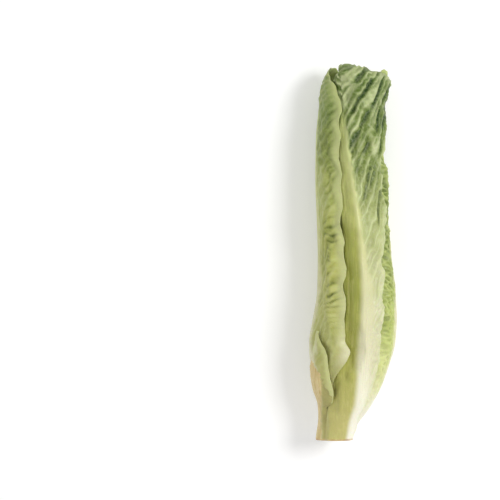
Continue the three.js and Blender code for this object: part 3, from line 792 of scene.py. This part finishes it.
# ---------- materials ----------
# Colours are screen values from 0 to 255. A ramp's stops are (share, r, g, b): the share of the way
# up the head, or a noise's value.
CREAM = ((0.0, 250, 247, 232), (0.12, 246, 243, 222), (0.24, 225, 221, 188), (0.37, 210, 208, 166),
         (0.5, 204, 204, 146), (0.72, 206, 212, 144), (0.85, 184, 196, 126))
# The midrib's left side: partly its own olive, partly painted shade where it faces away from the key
# light.
FLANK_OLIVE_AND_SHADE = ((0.05, 190, 182, 112), (0.2, 166, 168, 70), (0.4, 155, 163, 66), (0.55, 170, 178, 80),
         (0.72, 212, 221, 128))
# The left leaf's margin band: its own paler green, with painted highlight where it faces the key light,
# whitest on the lobe.
PALE_LIT_MARGIN = ((0.14, 178, 176, 112), (0.19, 184, 183, 124), (0.225, 228, 224, 190),
          (0.28, 200, 201, 148), (0.9, 186, 194, 130))
STUB = ((0.3, 234, 214, 160), (0.7, 202, 178, 110))
CUT = ((0.35, 222, 198, 150), (0.55, 196, 156, 106), (0.75, 164, 118, 74))
# A blade's pale is painted highlight on its crests and the own colour of its veins and edges.
LEAVES = dict(  # the blade's ramp, the painted shade of its dips and the pale of its crests
    outer=(((0.15, 226, 221, 186), (0.28, 218, 215, 178), (0.36, 206, 206, 166),
            (0.45, 200, 202, 150), (0.52, 172, 178, 116), (0.64, 144, 154, 88),
            (0.74, 118, 134, 62), (0.9, 98, 120, 48)), (34, 62, 4), (206, 214, 160)),
    left=(((0.15, 194, 191, 124), (0.28, 174, 175, 98), (0.45, 184, 186, 98),
           (0.65, 158, 167, 86), (0.9, 120, 140, 68)), (78, 92, 20), (204, 208, 146)),
    right=(((0.12, 224, 223, 162), (0.22, 214, 219, 150), (0.33, 176, 187, 104),
            (0.4, 148, 160, 82), (0.47, 128, 141, 70), (0.9, 112, 132, 60)),
           (48, 74, 8), (204, 214, 136)),
    heart=(((0.15, 226, 226, 158), (0.45, 214, 218, 138), (0.9, 186, 202, 116)),
           (140, 150, 74), (230, 232, 180)),
)
STREAKS, FLANK_STREAKS, FIBRES = (205, 203, 140), (194, 192, 98), (220, 214, 138)
# Painted shade below the torn leaf's flap, in the olive of the leaf lying in shadow there.
HOLLOW_SHADE = (178, 172, 108)
STEM_PALE, STEM_DARK = (236, 230, 200), (214, 202, 152)
WHITE = (1, 1, 1, 1)  # as the scene's own values

# How strongly each thing shows in a leaf's colour. Dips and creases are painted shade, crests painted
# highlight, the sunken place below the torn flap painted shade, the margin band partly painted highlight.
SHOWS = dict(blotch=0.24, dip=1.9, crest=1.4, crease=0.9, veinlets=0.12, streaks=0.3,
             flank_streaks=0.4, fibres=1.2, vein=0.45, edge=0.3, margin=0.8, stub=1, shaded_hollow=1, cut=1)
DIP_SHADE_RISE = 2.2  # how quickly the painted shade in the blade's dips deepens, going up the head
FEWEST_FIBRES = 0.45  # only a noise above this shows as fibres
VEINLETS, VEINLET_WIDTH = 420, 1 / 7  # a net's cells per metre, and its lines' half width in cells
COLOUR_A, COLOUR_B, MIXED = 6, 7, 2  # a mix node's colour sockets


def srgb(r, g, b):
    """A colour given as 0-255 screen values, in the scene's linear values."""
    c = np.array([r, g, b]) / 255
    linear = np.where(c <= 0.04045, c / 12.92, ((c + 0.055) / 1.055) ** 2.4)
    return (*linear, 1.0)


class Nodes:
    """Short calls for adding and joining a material's nodes."""

    def __init__(self, name):
        self.material = bpy.data.materials.new(name)
        self.material.use_nodes = True
        self.tree = self.material.node_tree
        self.tree.nodes.clear()

    def add(self, kind, sockets, **settings):
        """A node with these settings, and each socket joined to another one or set to a value."""
        node = self.tree.nodes.new(kind)
        for key, value in settings.items():
            setattr(node, key, value)
        for key, value in sockets.items():
            if isinstance(value, bpy.types.NodeSocket):
                self.tree.links.new(value, node.inputs[key])
            else:
                node.inputs[key].default_value = value
        return node

    def mask(self, name):
        return self.add("ShaderNodeAttribute", {}, attribute_name=name).outputs["Fac"]

    def math(self, operation, a, b, clamp=False):
        settings = dict(operation=operation, use_clamp=clamp)
        return self.add("ShaderNodeMath", {0: a, 1: b}, **settings).outputs[0]

    def times(self, value, gain, clamp=False):
        return self.math("MULTIPLY", value, gain, clamp)

    def excess(self, a, b, gain):
        """How far a goes beyond b, times a gain, from 0 to 1."""
        return self.times(self.math("SUBTRACT", a, b, clamp=True), gain, clamp=True)

    def mix(self, share, a, b):
        """Colour a with a share of colour b, each a socket or screen values."""
        a, b = (srgb(*colour) if isinstance(colour, tuple) else colour for colour in (a, b))
        sockets = {"Factor": share, COLOUR_A: a, COLOUR_B: b}
        return self.add("ShaderNodeMix", sockets, data_type="RGBA").outputs[MIXED]

    def ramp(self, value, stops):
        node = self.add("ShaderNodeValToRGB", {"Fac": value})
        elements = node.color_ramp.elements
        while len(elements) < len(stops):
            elements.new(0.5)
        for element, (position, *colour) in zip(elements, stops):
            element.position = position
            element.color = srgb(*colour)
        return node.outputs[0]

    def place(self):
        return self.add("ShaderNodeTexCoord", {}).outputs["Object"]

    def noise(self, scale, detail=3.0, stretch=(1, 1, 1)):
        place = self.add("ShaderNodeMapping", {"Scale": stretch, "Vector": self.place()}).outputs[0]
        sockets = {"Vector": place, "Scale": scale, "Detail": detail}
        return self.add("ShaderNodeTexNoise", sockets).outputs["Fac"]

    def veinlets(self):
        """A fine net of lines, 1 on a line."""
        sockets = {"Vector": self.place(), "Scale": VEINLETS}
        cells = self.add("ShaderNodeTexVoronoi", sockets, feature="DISTANCE_TO_EDGE")
        near = self.times(cells.outputs["Distance"], -1 / VEINLET_WIDTH)
        return self.math("ADD", near, 1.0, clamp=True)

    def cut_face(self):
        """Cut stem and leaf bases, browned in patches."""
        return self.ramp(self.noise(scale=330, detail=4), CUT)

    def finish(self, sockets):
        """Joins a shader with these sockets to the output. Gives the finished material."""
        shader = self.add("ShaderNodeBsdfPrincipled", sockets)
        self.add("ShaderNodeOutputMaterial", {"Surface": shader.outputs[0]})
        return self.material


def blade_colour(n, along, blade, painted_shade, pale):
    """Greener up the head, painted shade in dips and creases, painted highlight on crests, pale veinlets.
    """
    blotch = n.times(n.math("SUBTRACT", n.noise(scale=90), 0.5), SHOWS["blotch"])
    green = n.ramp(n.math("ADD", along, blotch), blade)
    crest = n.mask("crest")
    # Painted shade in the dips, deeper up the head, and in the creases; painted highlight on the crests.
    dip = n.excess(LEVEL_CREST, crest, SHOWS["dip"])
    green = n.mix(n.times(dip, n.times(along, DIP_SHADE_RISE, clamp=True)), green, painted_shade)
    green = n.mix(n.excess(crest, LEVEL_CREST, SHOWS["crest"]), green, pale)
    green = n.mix(n.times(n.mask("crease"), SHOWS["crease"], clamp=True), green, painted_shade)
    return n.mix(n.times(n.veinlets(), SHOWS["veinlets"]), green, pale)


def midrib_colour(n, along):
    """Cream with long streaks; its left side olive with streaks and fibres, partly painted shade."""
    streaks = n.times(n.noise(scale=160, stretch=(4, 0.12, 4)), SHOWS["streaks"])
    midrib = n.mix(streaks, n.ramp(along, CREAM), STREAKS)
    streaks = n.times(n.noise(scale=70, detail=2, stretch=(3, 0.3, 3)), SHOWS["flank_streaks"])
    flank = n.mix(streaks, n.ramp(along, FLANK_OLIVE_AND_SHADE), FLANK_STREAKS)
    fibres = n.excess(n.noise(scale=300, stretch=(3, 0.08, 3)), FEWEST_FIBRES, SHOWS["fibres"])
    return n.mix(n.mask("flank"), midrib, n.mix(fibres, flank, FIBRES))


def leaf_material(name, blade, painted_shade, pale):
    """Crinkled leaf: its midrib and blade, and over both its veins, margins and cuts."""
    n = Nodes(name)
    along = n.mask("along")
    green = blade_colour(n, along, blade, painted_shade, pale)
    colour = n.mix(n.mask("blade"), midrib_colour(n, along), green)
    stub = n.ramp(n.noise(scale=260, detail=4, stretch=(3, 0.25, 3)), STUB)
    over = dict(vein=pale, edge=pale, margin=n.ramp(along, PALE_LIT_MARGIN), stub=stub, shaded_hollow=HOLLOW_SHADE,
                cut=n.cut_face())
    for mask, laid in over.items():
        colour = n.mix(n.times(n.mask(mask), SHOWS[mask]), colour, laid)
    grain = n.math("ADD", n.veinlets(), n.noise(scale=1500))
    bump = n.add("ShaderNodeBump", {"Height": grain, "Strength": 0.3, "Distance": 0.0003})
    return n.finish({
        "Base Color": colour,
        "Roughness": n.math("ADD", 0.26, n.times(n.noise(scale=700, detail=2), 0.25)),
        "Normal": bump.outputs[0],
        "Subsurface Weight": 0.15,
        "Subsurface Radius": (0.6, 1.0, 0.25),
        "Subsurface Scale": 0.0015,
        "Specular IOR Level": 0.2,
        "Coat Weight": 0.12,
        "Coat Roughness": 0.2,
    })


def stem_material():
    """Cream stem with a browned cut face."""
    n = Nodes("stem_flesh")
    grain = n.noise(scale=420, detail=4)
    flesh = n.mix(grain, STEM_PALE, STEM_DARK)
    return n.finish({
        "Base Color": n.mix(n.mask("cut"), flesh, n.cut_face()),
        "Roughness": n.math("ADD", 0.45, n.times(grain, 0.2)),
        "Subsurface Weight": 0.3,
        "Subsurface Scale": 0.004,
    })


def floor_material():
    return Nodes("pale_floor").finish({
        "Base Color": (0.88, 0.88, 0.88, 1),
        "Roughness": 0.8,
        "Emission Color": WHITE,
        "Emission Strength": 0.2,
    })


# ---------- the head ----------
def leaf_look(seed, rows, columns, **changes):
    """How a fine leaf's surface is drawn: sizes are in mm, and lists are [height, value]."""
    usual = dict(
        seed=seed, rows=rows, columns=columns, smooth_base=14, blade_grown=40,
        rib_share=[[0, 0.75]], rib_share_left=0.75, rib_fade=[[0, 5]], full_fray=5, rib_end=14,
        tip_fade=16, vein_step=4.2, vein_width=0.7, vein_shift=0.3, vein_level=0.3, vein_reach=26,
        ridge=0.5, blister=4.2, cell_length=1.35, cell_level=0.55, strip_cells=1.3, sides_apart=7,
        pucker=[[0, -0.5]], rumple=0.5, crinkle_start=-12, crinkle_grown=12, creases=fold_turns,
        crease=[[100, 0], [200, 1]], crease_drift=0.25, crease_width=0.9, half_crease=0.5, crease_start=5,
        buckle=[[0, 0]], buckle_width=4.5, buckle_lean=0.6, bands=[[0, 0]], contrast=[[0, 1]],
        stripe_height=0.07, stripe_rate=4.1, ruffle=1.0, frill_width=6, swing_width=4, swing_turn=1.3,
        pale_edge=1.0, edge_width=2.4, tip_edge=0.8, press=0.3, ragged=2.0, ragged_share=0.08,
        calm_margin=0, calm_reach=1.3, pale_width=6.5, pale_reach=1.15, lobe=0, lobe_height=48,
        lobe_length=10, flank=[[0, 0]], flank_start=-0.05, flank_fade=0.4,
        closed=0, closed_height=18, closed_fade=8, closed_width=3, closed_sink=0.4,
    )
    return read_curves({**usual, **changes})


LOOKS = {
    "leaf_trimmed": leaf_look(
        11, 150, 60, smooth_base=0, blade_grown=20, rib_share=[[0, 0.1]], rib_share_left=0.1,
        ridge=0.05, pucker=[[0, -0.1]], rumple=0.3, ruffle=0.3, pale_edge=2.6, edge_width=5.0,
        press=0.9, ragged=0, closed=1.6,
        tear=TEAR, tear_step=0.35, tear_width=0.5, stub_fade=2.4, stub_jag=0.3,
    ),
    "leaf_left": leaf_look(
        23, 300, 120, rib_share_left=0.5, ridge=0.4, creases=ladder_turns,
        crease=[[50, 0.1], [80, 0.35], [92, 1.1], [120, 1.0], [150, 0.6]],
        crease_drift=1.7, crease_width=0.75, half_crease=0.75, crease_start=16,
        pucker=[[70, 0], [95, 0.7], [125, 0.3], [150, -0.5]], crinkle_start=14,
        strip_cells=1.0, calm_margin=1.0, smooth_base=16, blade_grown=24, ruffle=0.5, lobe=2.5,
    ),
    "leaf_front": leaf_look(
        37, 400, 120, rib_share_left=1.25, ridge=0.7, half_crease=0.45, rib_end=42,
        rib_fade=[[90, 5], [120, 3], [200, 2]], crease_width=1.15, crease_drift=0.45,
        rib_share=[[80, 0.9], [110, 0.45], [130, 0.25]], pucker=[[110, -0.15], [180, -0.5]],
        # How strongly the midrib's olive and painted shade show on its left side.
        flank=[[0, 0.95], [110, 0.95], [150, 0.6], [190, 0.25]],
        crease=[[105, 0.05], [140, 0.5], [180, 1.2], [220, 1.4]],
        # Painted highlight along the fold tops.
        bands=[[110, 0], [150, 0.27], [220, 0.3]],
        # How strongly the painted shade and highlight show.
        contrast=[[80, 0.6], [100, 0.3], [145, 1]],
        buckle=[[130, 0], [185, 0.6], [225, 0.6]],
    ),
    "leaf_under": leaf_look(41, 260, 120),
    "leaf_right": leaf_look(
        53, 300, 140, smooth_base=8, blister=2.6, strip_cells=1.9, pucker=[[0, -1.0]],
        # Painted highlight along the fold tops.
        bands=[[100, 0], [160, 0.2]],
    ),
}
INNER_LOOK = dict(rows=110, columns=56, blister=5.0, ridge=0.2, pucker=[[0, -0.35]], rumple=0.4,
                  ruffle=0.6, ragged=1.0)
FIRST_SEED, SEED_STEP = 100, 20  # an inner leaf's seed follows from its place in the list of leaves


def lay_head(leaves):
    """Every leaf's coarse grid, laid from the outside in, and the room that they all take."""
    taken, covered = np.zeros((2, HEIGHTS, ANGLE_STEPS))
    grids = []
    for leaf in leaves:
        grid = lay_leaf(leaf, taken)
        grid.covered = covered.copy()
        take_leaf(grid, taken, covered)
        grids.append(grid)
    return grids, taken


leaves = [TRIMMED_LEAF, LEFT_LEAF, FRONT_LEAF, UNDER_LEAF, RIGHT_LEAF]
leaves += [inner_leaf(index) for index in range(INNER_LEAVES)]
leaves = [read_leaf(leaf) for leaf in leaves]
grids, taken = lay_head(leaves)

# The origin is the middle of the head's box, on the surface it lies on.
corners = np.concatenate([
    place(grid.angle, grid.height, face).reshape(-1, 3)
    for grid in grids for face in (grid.outer, grid.inner)
])
CENTRE = (corners.min(0) + corners.max(0)) / 2 * [1, 1, 0]

materials = {name: leaf_material(name + "_leaf_surface", *colours) for name, colours in LEAVES.items()}
COLOURED_AS = dict(leaf_trimmed="left", leaf_left="left", leaf_right="right")


def in_metres(points):
    """Points in the head's own frame, none below the surface that it lies on, in metres."""
    points = points - CENTRE
    points[..., 2] = np.maximum(points[..., 2], 0)
    return points.reshape(-1, 3) * MM


def make_leaf(leaf, grid, index):
    name = leaf.name
    look = LOOKS.get(name) or leaf_look(FIRST_SEED + SEED_STEP * index, **INNER_LOOK)
    outer, inner, masks = fine_leaf(leaf, grid, look)
    points = np.concatenate([in_metres(outer), in_metres(inner)])
    masks = {key: np.tile(np.ravel(values), 2) for key, values in masks.items()}
    faces = shell_faces(look.rows, look.columns)
    inside = name.startswith("leaf_inner")
    material = materials["heart" if inside else COLOURED_AS.get(name, "outer")]
    piece = mesh_object(name.replace("leaf_", "") + "_leaf", points, faces, masks, material)
    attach(piece, "root")
    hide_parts(name)


for index, (leaf, grid) in enumerate(zip(leaves, grids)):
    make_leaf(leaf, grid, index)


def stem_points():
    """The stem's rings of points, then its tip and the middle of its cut."""
    angles = np.arange(FINE_SIDES) * 360 / FINE_SIDES
    rings = [(0.0, share) for share in CUT_RINGS]
    rings += [(height, 1.0) for height in np.linspace(0, STEM_TIP - 1, FINE_RINGS)]
    points = []
    for height, share in rings:
        outline = outline_radius(angles, height)
        near = [taken_near(taken, angle, height, 180 / STEM_SIDES, STEM_CLEAR) for angle in angles]
        closed = smooth(1 - height / BUTT_CLOSED)
        free = outline - np.array(near) + STEM_REACH * closed
        radius = np.minimum(stem_radius(height) + STEM_SWELL * closed, free) * share
        points.append(place(angles, np.full(FINE_SIDES, height), outline - radius))
    for height in (STEM_TIP, 0.0):
        x, z = middle(height)
        points.append([[x, height, z]])
    return np.concatenate(points)


def stem_faces():
    """Triangles between the stem's rings, and round its tip and the middle of its cut."""
    last = (len(CUT_RINGS) + FINE_RINGS - 1) * FINE_SIDES
    tip = last + FINE_SIDES
    faces = []
    for ring in range(0, last, FINE_SIDES):
        above = ring + FINE_SIDES
        for i in range(FINE_SIDES):
            k = (i + 1) % FINE_SIDES
            faces += [[ring + i, above + i, above + k], [ring + i, above + k, ring + k]]
    for i in range(FINE_SIDES):
        k = (i + 1) % FINE_SIDES
        faces += [[tip, last + k, last + i], [tip + 1, i, k]]
    return np.array(faces)


def make_stem():
    """The stem core, in the room that all the leaves have left."""
    points = stem_points()
    masks = {"cut": smooth(1 - points[:, 1] / BROWNED)}
    piece = mesh_object("stem", in_metres(points), stem_faces(), masks, stem_material())
    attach(piece, "root")
    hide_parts("stem_core")


make_stem()


# ---------- stage ----------
PIXEL = 0.62  # mm of the head per pixel of the picture
PICTURE = 500  # its width
MIDLINE_PIXEL = 353  # the head's own x = 0
CUT_PIXEL = 440  # the row of the cut face
CAMERA_HEIGHT = 1600.0
HEAD_PLANE = 25.0  # the height over the floor that is drawn at PIXEL
SENSOR = 36.0
FLOOR = 3.0  # half the floor's width, in metres
SKY = 0.55  # how bright the light from all round is


def make_camera():
    """A camera that looks straight down, set so that the head is drawn where it is in the picture."""
    data = bpy.data.cameras.new("camera")
    data.sensor_width = SENSOR
    data.lens = SENSOR * CAMERA_HEIGHT / (PIXEL * PICTURE)
    camera = add_object("camera", data)
    x = (PICTURE / 2 - MIDLINE_PIXEL) * PIXEL - CENTRE[0]
    y = (CUT_PIXEL - PICTURE / 2) * PIXEL - CENTRE[1]
    camera.location = Vector((x, y, CAMERA_HEIGHT + HEAD_PLANE)) * MM
    bpy.context.scene.camera = camera


def make_floor():
    mesh = bpy.data.meshes.new("floor")
    corners = [(-FLOOR, -FLOOR, 0), (FLOOR, -FLOOR, 0), (FLOOR, FLOOR, 0), (-FLOOR, FLOOR, 0)]
    mesh.from_pydata(corners, [], [(0, 1, 2, 3)])
    mesh.materials.append(floor_material())
    floor = add_object("floor", mesh)


def make_light(name, spot, size, power):
    """A soft light that points at the head. The spot and size are in metres."""
    data = bpy.data.lights.new(name, "AREA")
    data.size = size
    data.energy = power
    light = add_object(name, data)
    light.location = spot
    light.rotation_euler = (-Vector(spot)).to_track_quat("-Z", "Y").to_euler()


def make_world():
    world = bpy.data.worlds.new("studio")
    world.use_nodes = True
    background = world.node_tree.nodes["Background"]
    background.inputs["Color"].default_value = WHITE
    background.inputs["Strength"].default_value = SKY
    bpy.context.scene.world = world
    bpy.context.scene.view_settings.view_transform = "Standard"


make_camera()
make_floor()
make_light("key", spot=(0.7, 0.2, 0.95), size=0.45, power=8)
make_light("fill", spot=(-0.8, 0.2, 1.0), size=0.9, power=2)
make_world()

bpy.context.view_layer.update()
